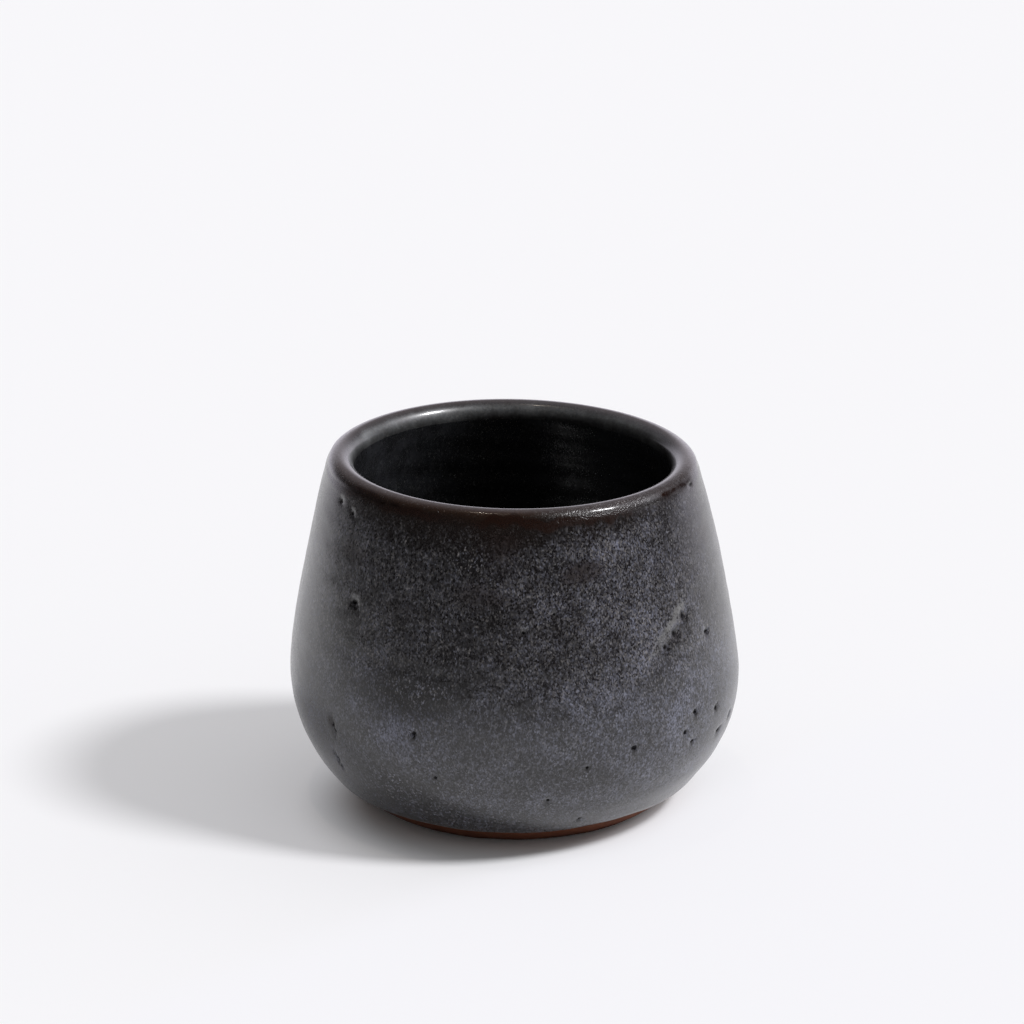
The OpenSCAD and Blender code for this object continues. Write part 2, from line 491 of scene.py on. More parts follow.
milk_and_painted_light = np.interp(below_lip, *np.transpose(MILK_BANDS))
milk_and_painted_light += 0.035 * wander(grid_angle, grid_s, turns=9, length=14, seed=41, count=24)
milk_and_painted_light += 0.030 * wander(grid_angle, grid_s, turns=24, length=6, seed=42, count=40)
# The patches add clouds, painted light on the lamp's side and painted shade low on the left.
paint_patches(milk_and_painted_light, MILK_AND_LIGHT_PATCHES)
for hole in pinholes:
    below = hole.s - hole.half_length - 0.8
    above = hole.s + hole.half_length + 0.2
    paint(milk_and_painted_light, hole.angle, below, half_width=1.6 * hole.half_width, half_height=1.3, amount=-0.16)
    # A painted highlight on the upper rim of the pinhole.
    paint(milk_and_painted_light, hole.angle - 0.02, above, half_width=1.2 * hole.half_width, half_height=0.4, amount=0.12)
print(f"milk outside from {milk_and_painted_light[:lip_from].min():.2f} to {milk_and_painted_light[:lip_from].max():.2f}")

# %% [markdown]
# In the liner the back left, which the lamp lights, is painted paler: painted light. The
# back, in shade, is painted darker: painted shade. The inner side of the lip is painted paler
# to the left, which faces the lamp, than to the right: painted light and shade.

# %% Paint light and shade inside
BACK = math.radians(90)
BACK_LEFT = math.radians(135)
INNER_LIP = -2.4

# Painted light on the lit back left of the liner.
milk_and_painted_light += 0.36 * inside * hump(grid_angle, BACK_LEFT, breadth=0.55)
# Painted shade on the back of the liner.
milk_and_painted_light -= 0.30 * inside * hump(grid_angle, BACK, breadth=0.8)
# Painted light and shade on the inner lip: paler on the left, darker on the right.
milk_and_painted_light -= 0.14 * hump(below_lip, INNER_LIP, breadth=1.6) * np.cos(grid_angle)
print(f"milk inside from {milk_and_painted_light[lip_to:].min():.2f} to {milk_and_painted_light[lip_to:].max():.2f}")

# %% [markdown]
# Something hard has rubbed the wall on the right and left a pale, slanting scuff. It is a
# row of small soft patches between two pixels, each a little off the line.

# %% Rub the scuff
SCUFF_FROM = (680, 603)
SCUFF_TO = (653, 656)
SCUFF_RUBS = 14
SCUFF_STRAY = 1.5

scuff = np.zeros_like(milk_and_painted_light)
for share in np.linspace(0, 1, SCUFF_RUBS):
    px = SCUFF_FROM[0] + share * (SCUFF_TO[0] - SCUFF_FROM[0]) + rng.uniform(-SCUFF_STRAY, SCUFF_STRAY)
    py = SCUFF_FROM[1] + share * (SCUFF_TO[1] - SCUFF_FROM[1]) + rng.uniform(-SCUFF_STRAY, SCUFF_STRAY)
    paint(scuff, *spot_behind(px, py), 1.0, 0.7, rng.uniform(0.4, 0.7) * (1 - 0.5 * share))
print(f"scuff of strength {scuff.max():.2f}")

# %% [markdown]
# Glaze runs off a lip as it melts. It is thinnest just outside the crest and grows thicker
# over the next centimetre, further down at some places than at others. On the front right
# fine grains roughen the roll of the lip, and inside the glaze lies calm.

# %% Thin the glaze at the lip
FULL_AFTER = 10.0
GRAINY_SIDE = math.radians(302)
# Angle, breadth in radians and head start in mm of the places where it is thick early.
EARLY_SIDES = [(math.radians(327), 0.5, 5.0), (math.radians(281), 0.2, 2.2)]

# A band round the crest, painted a lighter brown later: painted light where the lamp falls full on the
# roll of the lip.
lit_crest = hump(below_lip, middle=1.0, breadth=1.5)
head_start = 1.5 * wander_round(grid_angle, turns=4, seed=44) - 1.5
for side, breadth, early in EARLY_SIDES:
    head_start += early * hump(grid_angle, side, breadth)
thicker = np.clip((below_lip + head_start) / FULL_AFTER, 0, 1)
thickness = np.where(below_lip > 0, thicker, fade(-below_lip, 0.3, 2.5))
lip_grain = fade(below_lip, 0.3, 1.0) * (1 - fade(below_lip, 1.8, 4.5))
lip_grain *= 0.04 + 0.96 * hump(grid_angle, GRAINY_SIDE, breadth=0.27, power=4)
calm = fade(-below_lip, -0.5, 1.0)
settled = fade(below_lip, 28, 44)
print(f"share of thin glaze: {(thickness < 0.5).mean():.2f}")

# %% [markdown]
# Rust shows in a few spots below the lip, and in a ragged line in front, where the brown of
# the lip gives way to grey.

# %% Paint the rust
FRONT = math.radians(270)
RUST_PATCHES = [(502, 545, 3.0, 4.5, 0.5), (330, 721, 0.9, 1.2, 1.0)]

rust = 0.5 * np.clip(wander(grid_angle, grid_s, turns=14, length=9, seed=43, count=30) - 0.9, 0, 1)
rust *= fade(below_lip, 2, 6) * (1 - fade(below_lip, 12, 26))
paint_patches(rust, RUST_PATCHES)
ragged = 0.5 * wander_round(grid_angle, turns=24, seed=45)
ragged += 0.3 * wander_round(grid_angle, turns=70, seed=46)
rust_line = fade(below_lip + ragged, 1.7, 2.6) * (1 - fade(below_lip + ragged, 3.2, 5.2))
rust_line *= hump(grid_angle, FRONT, breadth=1.25, power=4)
rust_line *= np.clip(0.75 + 0.4 * wander_round(grid_angle, turns=11, seed=47), 0, 1)
print(f"most rust {rust.max():.2f}")

# %% [markdown]
# Where the lip turns away to the left and to the right, a dark, matt line runs under its
# roll: rust brown, and painted shade, as black metal with no reflection. It is painted as a
# row of uneven dabs along a few pixels. A few patches of the wall are dull as well: their
# glaze has no clear gloss over it.

# %% Paint the dark edges and the dull patches
# Pixels along the dark edge under the lip's roll on each side.
LEFT_EDGE = [(339, 478), (346, 486), (353, 492), (366, 498), (381, 503), (400, 508)]
RIGHT_EDGE = [(662, 494), (670, 490), (680, 485), (687, 480), (691, 475)]
EDGE_DABS = 24
EDGE_STRAY = 1.2
EDGE_DARKNESS = 0.8
DULL_PATCHES = [
    (312, 718, 9.0, 9.0, 1.0), (380, 800, 12.0, 7.0, 0.7), (372, 650, 9.0, 9.0, 0.8),
    (398, 728, 9.0, 7.0, 0.8), (410, 698, 9.0, 5.0, 0.4),
]

dull = np.zeros_like(milk_and_painted_light)
paint_patches(dull, DULL_PATCHES)
# Each dab adds rust and dullness; where they meet, the fired glaze paints shade as black metal.
for edge, breadth in ((LEFT_EDGE, 0.5), (RIGHT_EDGE, 0.65)):
    edge_x, edge_y = np.transpose(edge)
    for px in np.linspace(edge_x[0], edge_x[-1], EDGE_DABS):
        py = np.interp(px, edge_x, edge_y) + rng.uniform(-EDGE_STRAY, EDGE_STRAY)
        edge_darkness = EDGE_DARKNESS * rng.uniform(0.3, 1.0)
        dab_width = rng.uniform(0.4, 0.9)
        dab_height = breadth * rng.uniform(0.6, 1.4)
        for field in (rust, dull):
            paint(field, *spot_behind(px, py), dab_width, dab_height, edge_darkness)
print(f"dry edges of {EDGE_DABS} dabs each, most rust now {rust.max():.2f}")

# %% [markdown]
# ## The cup's own lean
# The rim of the real cup is a touch higher on its left, and the whole cup leans the other
# way by half a degree: it was cut from the wheel slightly askew. On its right the wall swells
# a little above the belly and tucks in below it. The same small change is given to every
# piece, clay and glaze alike, so nothing parts from what carries it.

# %% Lean the cup as the thrown one leans
LEAN = -0.0094
LEAN_ABOUT = 35.0
RIM_TILT = -0.0127
RIM_HEIGHT = skin.line[:, HEIGHT].max()
RIM_OVAL = 0.12
RIM_OVAL_TURN = 0.6
# Height and swell of the right side, in mm.
SWELL = [
    (0, 0.0), (4, -0.30), (8, -0.35), (11, 0.0), (17, 0.25), (24, 0.15), (30, 0.0), (40, 0.10),
    (50, 0.25), (60, 0.18), (68, 0.15),
]


def lean(radius, height, angle):
    """Places in mm of points given by radius, height and angle, with the cup's own lean."""
    up = np.clip(height / RIM_HEIGHT, 0, None)
    radius = radius + RIM_OVAL * up**2 * np.cos(2 * angle + RIM_OVAL_TURN)
    to_the_right = np.clip(np.cos(angle), 0, 1)
    radius = radius + to_the_right**2 * np.interp(height, *np.transpose(SWELL))
    x = radius * np.cos(angle) + LEAN * (height - LEAN_ABOUT)
    y = radius * np.sin(angle)
    z = height + RIM_TILT * radius * np.cos(angle) * up**1.5
    return np.stack([x, y, z], axis=-1)


print(f"the lean moves the rim by {LEAN * (RIM_HEIGHT - LEAN_ABOUT):.2f} mm")

# %% [markdown]
# A dipped glaze line wanders. The belly is an arc about a centre level with its widest
# point, so turning points about that centre slides them along the clay, which moves the
# glaze line up and down and keeps the coat on the clay.

# %% Let the glaze line wander
belly_r, belly_z = clay_outline[clay_outline[:, RADIUS].argmax()]
step_in = belly_r - glaze_line[RADIUS]
arc_radius = (step_in**2 + (belly_z - glaze_line[HEIGHT]) ** 2) / (2 * step_in)
arc_centre_r = belly_r - arc_radius


def slide(radius, height, angle, reach):
    """Slides glaze along the belly, in full where reach is 1 and not at all where it is 0."""
    drift = 0.30 * wander_round(angle, turns=5, seed=21)
    drift += 0.10 * wander_round(angle, turns=26, seed=22)
    turn = drift * reach / arc_radius
    from_centre_r = radius - arc_centre_r
    from_centre_z = height - belly_z
    new_r = arc_centre_r + from_centre_r * np.cos(turn) - from_centre_z * np.sin(turn)
    new_z = belly_z + from_centre_r * np.sin(turn) + from_centre_z * np.cos(turn)
    return new_r, new_z


print(f"belly arc of radius {arc_radius:.1f} mm about radius {arc_centre_r:.1f} mm")

# %% [markdown]
# Now every grid point gets its place: on the smooth line, moved out by the relief, slid with
# the glaze line and leaned. The normals come from the steps to the neighbours on the whole
# skin, before it is cut up.

# %% Place the skin and find its normals
radius, height, out_r, out_z = skin.place(grid_s)
radius = radius + relief * out_r
height = height + relief * out_z
radius, height = slide(radius, height, grid_angle, 1 - fade(grid_s, 1, 12))
skin_places = lean(radius, height, grid_angle)

round_step = np.roll(skin_places, -1, axis=1) - np.roll(skin_places, 1, axis=1)
along_step = np.gradient(skin_places, axis=0)
skin_normals = np.cross(round_step, along_step)
skin_normals /= np.linalg.norm(skin_normals, axis=2, keepdims=True)
print("skin stands", round(float(skin_places[..., 2].max()), 2), "mm high")

# %% [markdown]
# ## From rings to closed pieces
# Each piece is a stack of rings. A glaze coat is a tube: its seen rings run one way, its
# rings on the clay run back, and the last joins the first. The liner and the clay reach the
# axis, so they end in a fan of triangles at both ends.

# %% Faces between rings
def next_column(values):
    """Values of the grid moved by one column, so that each meets its neighbour's."""
    return np.roll(values, -1, axis=1)


def ring_faces(count, columns, tube):
    """The quads between rings, the fans that close a piece at the axis, and the bands of quads."""
    index = np.arange(count * columns).reshape(count, columns)
    low = index if tube else index[:-1]
    high = np.roll(index, -1, axis=0) if tube else index[1:]
    quads = np.stack([low, next_column(low), next_column(high), high], axis=-1)
    faces = quads.reshape(-1, 4).tolist()
    if not tube:
        start = index.size
        end = index.size + 1
        first = index[0].tolist()
        last = index[-1].tolist()
        faces += [(start, first[(j + 1) % columns], first[j]) for j in range(columns)]
        faces += [(end, last[j], last[(j + 1) % columns]) for j in range(columns)]
    return faces, len(quads)


print("a tube of 2 rings with 3 columns has", len(ring_faces(2, 3, True)[0]), "faces")

# %% [markdown]
# A map lays each piece out flat, for a painter or a baker. The seen bands fill most of it,
# the hidden ones lie in a strip below, and the fans in two slivers between.

# %% Map of a piece
SEEN_STRIP = (0.12, 1.0)
HIDDEN_STRIP = (0.0, 0.09)
FAN_SLIVERS = [(0.1, 0.095, 0.095), (0.11, 0.105, 0.105)]


def ring_map(rings, seen_bands, bands, tube):
    """The map's place for each corner of each face, in the order of the faces."""
    columns = rings.shape[1]
    steps = np.diff(rings[:, 0], axis=0, append=rings[:1, 0])
    reach = np.linalg.norm(steps, axis=1)[:bands]
    bottom = np.zeros(bands)
    top = np.zeros(bands)
    seen_part = slice(0, seen_bands)
    hidden_part = slice(seen_bands, bands)
    for part, (low, high) in ((seen_part, SEEN_STRIP), (hidden_part, HIDDEN_STRIP)):
        total = np.cumsum(reach[part])
        top[part] = low + (high - low) * total / total[-1]
        bottom[part] = low + (high - low) * (total - reach[part]) / total[-1]
    u = np.arange(columns) / columns
    next_u = u + 1 / columns
    corners = np.zeros((bands, columns, 4, 2))
    corners[..., 0] = np.stack([u, next_u, next_u, u], axis=-1)
    corners[..., 1] = np.stack([bottom, bottom, top, top], axis=-1)[:, None]
    places = corners.reshape(-1, 2)
    if tube:
        return places
    fans = np.zeros((2, columns, 3, 2))
    fans[..., 0] = np.stack([u, next_u, u], axis=-1)
    fans[..., 1] = np.array(FAN_SLIVERS)[:, None]
    return np.vstack([places, fans.reshape(-1, 2)])


print("seen faces take", round(100 * (SEEN_STRIP[1] - SEEN_STRIP[0])), "% of a map")

# %% [markdown]
# Blender works out normals piece by piece, which would show the joints between the coats.
# The normals of the whole skin are handed to the seen faces instead, as custom normals, so
# light runs over the joints as over one glazed surface. A zero normal keeps Blender's own.

# %% Build a mesh from rings
def hand_over_normals(mesh, seen_normals, bands):
    """Gives the seen faces the normals of the whole skin, and leaves the others their own."""
    corner_normals = np.zeros((bands, seen_normals.shape[1], 4, 3))
    below = seen_normals[:-1]
    above = seen_normals[1:]
    four = [below, next_column(below), next_column(above), above]
    corner_normals[: len(below)] = np.stack(four, axis=2)
    every = np.zeros((len(mesh.loops), 3))
    every[: corner_normals.size // 3] = corner_normals.reshape(-1, 3)
    mesh.normals_split_custom_set(every.tolist())


def turned_piece(name, rings, seen_count, seen_normals=None, marks=None, tube=True):
    """A closed mesh from rings of points in mm.

    The first `seen_count` rings are the seen face; the others lie against the clay."""
    count, columns = rings.shape[:2]
    faces, bands = ring_faces(count, columns, tube)
    places = rings.reshape(-1, 3)
    if not tube:
        places = np.vstack([places, rings[0].mean(0), rings[-1].mean(0)])
    mesh = bpy.data.meshes.new(name)
    mesh.from_pydata((places * MM).tolist(), [], faces)
    mesh.polygons.foreach_set("use_smooth", np.ones(len(faces), dtype=bool))
    uv = ring_map(rings, seen_count - 1, bands, tube)
    mesh.uv_layers.new(name="OFBake").uv.foreach_set("vector", uv.astype(np.float32).ravel())
    for mark_name, values in (marks or {}).items():
        whole = np.zeros(len(places), dtype=np.float32)
        whole[: values.size] = values.ravel()
        mesh.attributes.new(mark_name, "FLOAT", "POINT").data.foreach_set("value", whole)
    if seen_normals is not None:
        hand_over_normals(mesh, seen_normals, bands)
    piece = bpy.data.objects.new(name, mesh)
    bpy.context.scene.collection.objects.link(piece)
    print(f"{name}: {len(faces)} faces, {'tube' if tube else 'capped'}")
    return piece


# %% [markdown]
# ## The glaze pieces
# The fields of a part of the skin go along with its piece. Its hidden rings need values too:
# there the glaze is thick, plain and without pits.

# %% Hand the fields to a piece
# Each field with the value that it has on the hidden side.
FIELDS = {
    "thickness": (thickness, 1.0), "pit": (pit_nearness, -1.0), "milk_and_painted_light": (milk_and_painted_light, 0.0),
    "rust": (rust, 0.0), "rust_line": (rust_line, 0.0), "lit_crest": (lit_crest, 0.0),
    "lip_grain": (lip_grain, 0.0), "calm": (calm, 0.0), "settled": (settled, 0.0),
    "dull": (dull, 0.0), "scuff": (scuff, 0.0),
}


def marks_of(part, hidden_count):
    """The fields on the seen rings of a part, and on the hidden rings behind them."""
    marks = {}
    for name, (field, behind) in FIELDS.items():
        marks[name] = np.vstack([field[part], np.full((hidden_count, COLUMNS), behind)])
    return marks


print(len(FIELDS), "fields:", ", ".join(FIELDS))

# %% [markdown]
# The outer glaze and the lip band are parts of the skin, each closed by rings that lie on
# the clay. At the glaze line those rings slide with the seen ones.

# %% Cut the outer glaze and the lip band
def rings_on_clay(points, reach_of=None):
    """Rings through points of an outline that lie on the clay."""
    rings = []
    for radius, height in points:
        r = np.full(COLUMNS, radius)
        z = np.full(COLUMNS, height)
        if reach_of is not None:
            r, z = slide(r, z, column_angle, reach_of(height))
        rings.append(lean(r, z, column_angle))
    return np.array(rings)


def glaze_tube(name, part, on_clay, reach_of=None):
    """One glaze coat: a part of the skin, closed by the face that lies on the clay."""
    seen = skin_places[part]
    rings = np.concatenate([seen, rings_on_clay(on_clay, reach_of)])
    return turned_piece(name, rings, len(seen), skin_normals[part], marks_of(part, len(on_clay)))


def slide_reach(height):
    """How far up the wall the glaze slides with its line."""
    return 1 - fade(height, glaze_line[HEIGHT] + 0.8, glaze_line[HEIGHT] + 8)


outer_back = outer_on_clay[np.argsort(-outer_on_clay[:, HEIGHT])][:-1]
lip_back = lip_on_clay[np.argsort(lip_on_clay[:, RADIUS])]
outer_glaze = glaze_tube("cup_outer_glaze", slice(0, lip_from + 1), outer_back, slide_reach)
lip_glaze = glaze_tube("cup_lip_glaze", slice(lip_from, lip_to + 1), lip_back)

# %% [markdown]
# The liner reaches the axis at both faces. Its stack of rings starts in the middle of the
# floor that coffee touches, runs up to the lip and comes back down along the clay. Seen
# that way its rings turn backwards, so the columns are taken in reverse.

# %% Build the liner
liner_part = slice(None, lip_to - 1, -1)
liner_seen_rings = skin_places[liner_part]
liner_order = np.argsort(liner_on_clay[:, HEIGHT] - 0.001 * liner_on_clay[:, RADIUS])
liner_back = liner_on_clay[liner_order][:0:-1]
liner_marks = marks_of(liner_part, len(liner_back))
liner_glaze = turned_piece(
    "cup_liner_glaze",
    np.concatenate([liner_seen_rings, rings_on_clay(liner_back)])[:, ::-1],
    len(liner_seen_rings),
    skin_normals[liner_part][:, ::-1],
    {name: values[:, ::-1] for name, values in liner_marks.items()},
    tube=False,
)

# %% [markdown]
# ## The clay body
# Bare clay shows only in a thin band at the foot and underneath, where the potter trims the
# foot ring with a loop tool and leaves fine turning lines. The rings are close there and
# wide apart under the glaze, where nobody sees them.

# %% Build the clay body
UNDER_GLAZE = 2.5
TURNING_DEPTH = 0.03
TURNING_PITCH = 0.9
ROUGH_DEPTH = 0.02

clay_line = SmoothLine(clay_outline[1:-1])
close_to = clay_line.distance_of(glaze_line) + UNDER_GLAZE
close_rings = spaced(AXIS_GAP, close_to, step=0.3)
wide_rings = spaced(close_to, clay_line.length, step=1.6)[1:]
clay_s, clay_angle = np.meshgrid(np.r_[close_rings, wide_rings], column_angle, indexing="ij")
bare = 1 - fade(clay_s, close_to - 3.0, close_to - 2.4)
turning = TURNING_DEPTH * np.sin(2 * math.pi * clay_s / TURNING_PITCH + clay_angle)
turning += ROUGH_DEPTH * wander(clay_angle, clay_s, turns=30, length=1.5, seed=31, count=24)
clay_r, clay_z, out_r, out_z = clay_line.place(clay_s)
clay_r = clay_r + bare * turning * out_r
clay_z = np.maximum(clay_z + bare * turning * out_z, 0.0)
clay_places = lean(clay_r, clay_z, clay_angle)
clay_body = turned_piece("cup_clay_body", clay_places, len(close_rings) - 1, tube=False)

# %% [markdown]
# ## Finishes
# The glaze is dark because it is full of iron. Where it is thick, pale crystals grow in it
# as it cools and speckle it grey. Where it runs thin, at the lip, they don't grow, and the
# iron shows as brown. Node groups hold these effects, and each piece's material gives them
# its own colours. A small class keeps the wiring of nodes short to read.

# %% Helper for wiring nodes
class Wiring:
    """Adds nodes to a node tree and hands back the sockets that carry their results."""

    def __init__(self, tree):
        self.tree = tree

    def node(self, kind, inputs=None, **settings):
        """Adds a node, sets its properties, and sets or links its inputs."""
        node = self.tree.nodes.new(kind)
        for name, value in settings.items():
            setattr(node, name, value)
        for key, value in (inputs or {}).items():
            if isinstance(value, bpy.types.NodeSocket):
                self.link(value, node.inputs[key])
            else:
                node.inputs[key].default_value = value
        return node

    def link(self, result, socket):
        """Links a result to the socket that takes it."""
        self.tree.links.new(result, socket)

    def math(self, operation, a, b, clamp=False):
        """The result of one operation on two values."""
        sockets = {0: a, 1: b}
        return self.node("ShaderNodeMath", sockets, operation=operation, use_clamp=clamp).outputs[0]

    def plus(self, a, b, clamp=False):
        """The sum of two values."""
        return self.math("ADD", a, b, clamp)

    def times(self, a, b, clamp=False):
        """The product of two values."""
        return self.math("MULTIPLY", a, b, clamp)

    def blend(self, factor, a, b):
        """Value a where factor is 0, value b where it is 1."""
        sockets = {0: factor, 2: a, 3: b}
        return self.node("ShaderNodeMix", sockets, data_type="FLOAT").outputs[0]

    def blend_colour(self, factor, a, b):
        """Colour a where factor is 0, colour b where it is 1."""
        sockets = {0: factor, 6: a, 7: b}
        return self.node("ShaderNodeMix", sockets, data_type="RGBA").outputs[2]

    def soft_step(self, value, low, high):
        """0 below low, 1 above high, and a smooth step between."""
        sockets = {"Value": value, "From Min": low, "From Max": high}
        return self.node("ShaderNodeMapRange", sockets, interpolation_type="SMOOTHSTEP").outputs[0]

    def vector(self, operation, a, b=(0, 0, 0)):
        """The outputs Vector and Value of one operation on two vectors."""
        return self.node("ShaderNodeVectorMath", {0: a, 1: b}, operation=operation).outputs

    def noise(self, where, scale, detail, roughness=0.5):
        """A noise from 0 to 1, with `scale` waves per metre."""
        sockets = {"Vector": where, "Scale": scale, "Detail": detail, "Roughness": roughness}
        return self.node("ShaderNodeTexNoise", sockets).outputs["Fac"]

    def signed_noise(self, *settings):
        """The same noise, centred on zero."""
        return self.math("SUBTRACT", self.noise(*settings), 0.5)

    def object_space(self):
        """The place of a point on its object, in metres."""
        return self.node("ShaderNodeTexCoord").outputs["Object"]


print("a wiring has", len([name for name in vars(Wiring) if name[0] != "_"]), "kinds of step")

# %% [markdown]
# A node group is one node made of many, with its own named sockets. An effect is wired once
# inside it, and each material that places it gives the sockets its own values.

# %% Helper for node groups
FLOAT = "NodeSocketFloat"
COLOUR = "NodeSocketColor"


def new_group(name, inputs, outputs):
    """The wiring of an empty node group, and the sockets inside its two ends."""
    tree = bpy.data.node_groups.new(name, "ShaderNodeTree")
    for socket, (kind, value) in inputs.items():
        made = tree.interface.new_socket(socket, in_out="INPUT", socket_type=kind)
        made.default_value = value
    for socket, kind in outputs.items():
        tree.interface.new_socket(socket, in_out="OUTPUT", socket_type=kind)
    given = tree.nodes.new("NodeGroupInput").outputs
    result = tree.nodes.new("NodeGroupOutput").inputs
    return Wiring(tree), given, result


print("node groups take", FLOAT, "and", COLOUR)

# %% [markdown]
# ## Speckle
# The speckle is grains of about a quarter of a millimetre, drawn out a little up and down
# because the glaze ran as it melted. Two sizes of noise and a value per Voronoi cell, added,
# give the uneven look of crystals, and a slower noise gathers them in patches. Grain and
# patch are signed: above zero is paler, below is darker.

# %% Speckle group
DRAWN_OUT = (1, 1, 0.66)
COARSER = 0.4
PATCHES_PER_METRE = 350.0
RARE_GLINT = 0.988

speckle, given, result = new_group(
    "Speckle",
    {"Grain Size": (FLOAT, 0.4)},
    {"Grain": FLOAT, "Patch": FLOAT, "Tint": FLOAT},
)
drawn_out = speckle.vector("MULTIPLY", speckle.object_space(), DRAWN_OUT)["Vector"]
grains_per_metre = speckle.math("DIVIDE", 1000.0, given["Grain Size"])
fine = speckle.signed_noise(drawn_out, grains_per_metre, 1.0, 0.6)
coarse = speckle.signed_noise(drawn_out, speckle.times(grains_per_metre, COARSER), 1.0, 0.6)
cells = {"Vector": drawn_out, "Scale": grains_per_metre}
cells = speckle.node("ShaderNodeTexVoronoi", cells).outputs["Color"]
cell = speckle.node("ShaderNodeSeparateColor", {0: cells}).outputs
single = speckle.math("SUBTRACT", cell["Red"], 0.5)
# Rare bright cells: painted glints, added to the grain.
glint = speckle.soft_step(cell["Blue"], RARE_GLINT, 1.0)
grain = speckle.plus(speckle.times(fine, 0.5), speckle.times(coarse, 0.35))
grain = speckle.plus(grain, speckle.times(single, 0.34))
grain = speckle.plus(grain, speckle.times(glint, 0.25))
patch = speckle.signed_noise(drawn_out, PATCHES_PER_METRE, 3.0, 0.6)
tint = speckle.plus(cell["Green"], speckle.times(patch, 0.9), clamp=True)
speckle.link(grain, result["Grain"])
speckle.link(patch, result["Patch"])
speckle.link(tint, result["Tint"])
print("speckle group:", len(speckle.tree.nodes), "nodes")

# %% [markdown]
# ## Fired glaze
# The fired glaze puts the parts together: ground colour, crystals, the brown break at the
# lip with its crest painted lighter as painted light, rust, and the painted shade of the pits.
# Its inputs are the colours and the gloss of one glaze. It gives a colour, a roughness, a metal
# share, a share of clear coat and a height. First it reads the speckle and the thickness,
# which a slow noise makes waver.

# %% Start the fired glaze group
GRAIN_SIZE = 0.265
WAVES_PER_METRE = 170.0
WAVER = 0.6

fired, given, result = new_group(
    "Fired Glaze",
    {
        "Ground": (COLOUR, (0.0046, 0.0036, 0.0038, 1)),
        "Crystal": (COLOUR, (0.157, 0.164, 0.222, 1)),
        "Warm Crystal": (COLOUR, (0.202, 0.184, 0.172, 1)),
        "Scuffed": (COLOUR, (0.135, 0.133, 0.130, 1)),
        "Iron": (COLOUR, (0.0105, 0.0056, 0.0030, 1)),
        # A lighter brown for the crest of the lip: painted light.
        "Lit Crest": (COLOUR, (0.0260, 0.0125, 0.0065, 1)),
        "Rust": (COLOUR, (0.0120, 0.0042, 0.0020, 1)),
        "Satin": (FLOAT, 0.36),
        "Gloss": (FLOAT, 0.20),
    },
    {"Colour": COLOUR, "Roughness": FLOAT, "Metal": FLOAT, "Coat": FLOAT, "Height": FLOAT},
)


def mark(name):
    """A field painted on the skin, read by its name."""
    return fired.node("ShaderNodeAttribute", attribute_name=name).outputs["Fac"]


grains = fired.node("ShaderNodeGroup", {"Grain Size": GRAIN_SIZE}, node_tree=speckle.tree).outputs
grain = grains["Grain"]
patch = grains["Patch"]
wavering = fired.signed_noise(fired.object_space(), WAVES_PER_METRE, 4.0)
wavered = fired.plus(mark("thickness"), fired.times(wavering, WAVER))
thick = fired.times(wavered, 1.05, clamp=True)
print("fired glaze reads", len(given) - 1, "inputs")

# %% [markdown]
# Crystals show where milk, with its painted light and shade, patch and grain add up to
# enough. Grains stand out most where crystals are sparse, and hardly at all in the calm glaze
# inside. The power makes many faint grains and a few bright ones.

# %% Crystals
THIN_LEVEL = -0.28
THICK_LEVEL = 0.30
USUAL_CONTRAST = 1.6
SPARSE_CONTRAST = 3.6
CALM_CONTRAST = 0.3
FEW_BRIGHT = 2.4

milk_and_light_there = mark("milk_and_painted_light")
milky_and_lit = fired.plus(fired.times(milk_and_light_there, 1.2), fired.times(patch, 0.46))
milky_and_lit = fired.plus(milky_and_lit, fired.blend(thick, THIN_LEVEL, THICK_LEVEL))
sparse = fired.times(milk_and_light_there, -7.0, clamp=True)
contrast = fired.blend(sparse, USUAL_CONTRAST, SPARSE_CONTRAST)
contrast = fired.blend(mark("calm"), contrast, CALM_CONTRAST)
grainy = fired.plus(milky_and_lit, fired.times(grain, contrast), clamp=True)
crystals = fired.math("POWER", grainy, FEW_BRIGHT)
print("crystals added,", len(fired.tree.nodes), "nodes so far")

# %% [markdown]
# Rust and pits are masks from the painted fields, frayed by the grain so that no painted
# edge shows.

# %% Rust and pits
frayed = fired.plus(mark("rust_line"), fired.times(wavering, 0.8))
frayed = fired.soft_step(fired.plus(frayed, grain), 0.25, 0.75)
broken_up = fired.plus(fired.times(grain, 4.0), 1.0)
rust_spots = fired.times(fired.times(mark("rust"), broken_up), 0.8)
rusty = fired.plus(rust_spots, frayed, clamp=True)
pit_edge = fired.plus(mark("pit"), fired.times(grain, 1.2))
# The mask of the painted shade in the pits.
pit_shade = fired.times(fired.soft_step(pit_edge, -0.05, 0.35), 0.9)
print("rust and pits added,", len(fired.tree.nodes), "nodes so far")

# %% [markdown]
# The colours go over each other in layers: the ground, brown where it is thin and painted
# lighter on the crest as painted light, the crystals, from warm to cool, then the scuff, the
# rust and the painted shade of the pits.

# %% Colour of the fired glaze
# Near black: painted shade in the pits.
PIT_SHADE_COLOUR = (0.004, 0.0035, 0.003, 1)

# On the crest the brown is painted lighter: painted light where the lamp falls full on the lip.
iron = fired.blend_colour(mark("lit_crest"), given["Iron"], given["Lit Crest"])
ground = fired.blend_colour(thick, iron, given["Ground"])
cool = fired.plus(grains["Tint"], fired.times(mark("settled"), 0.4))
cool = fired.plus(cool, fired.times(milk_and_light_there, 0.5), clamp=True)
crystal = fired.blend_colour(cool, given["Warm Crystal"], given["Crystal"])
colour = fired.blend_colour(crystals, ground, crystal)
rubbed = fired.plus(mark("scuff"), fired.times(grain, 1.2))
rubbed = fired.times(fired.soft_step(rubbed, 0.1, 0.8), 0.8)
colour = fired.blend_colour(rubbed, colour, given["Scuffed"])
colour = fired.blend_colour(rusty, colour, given["Rust"])
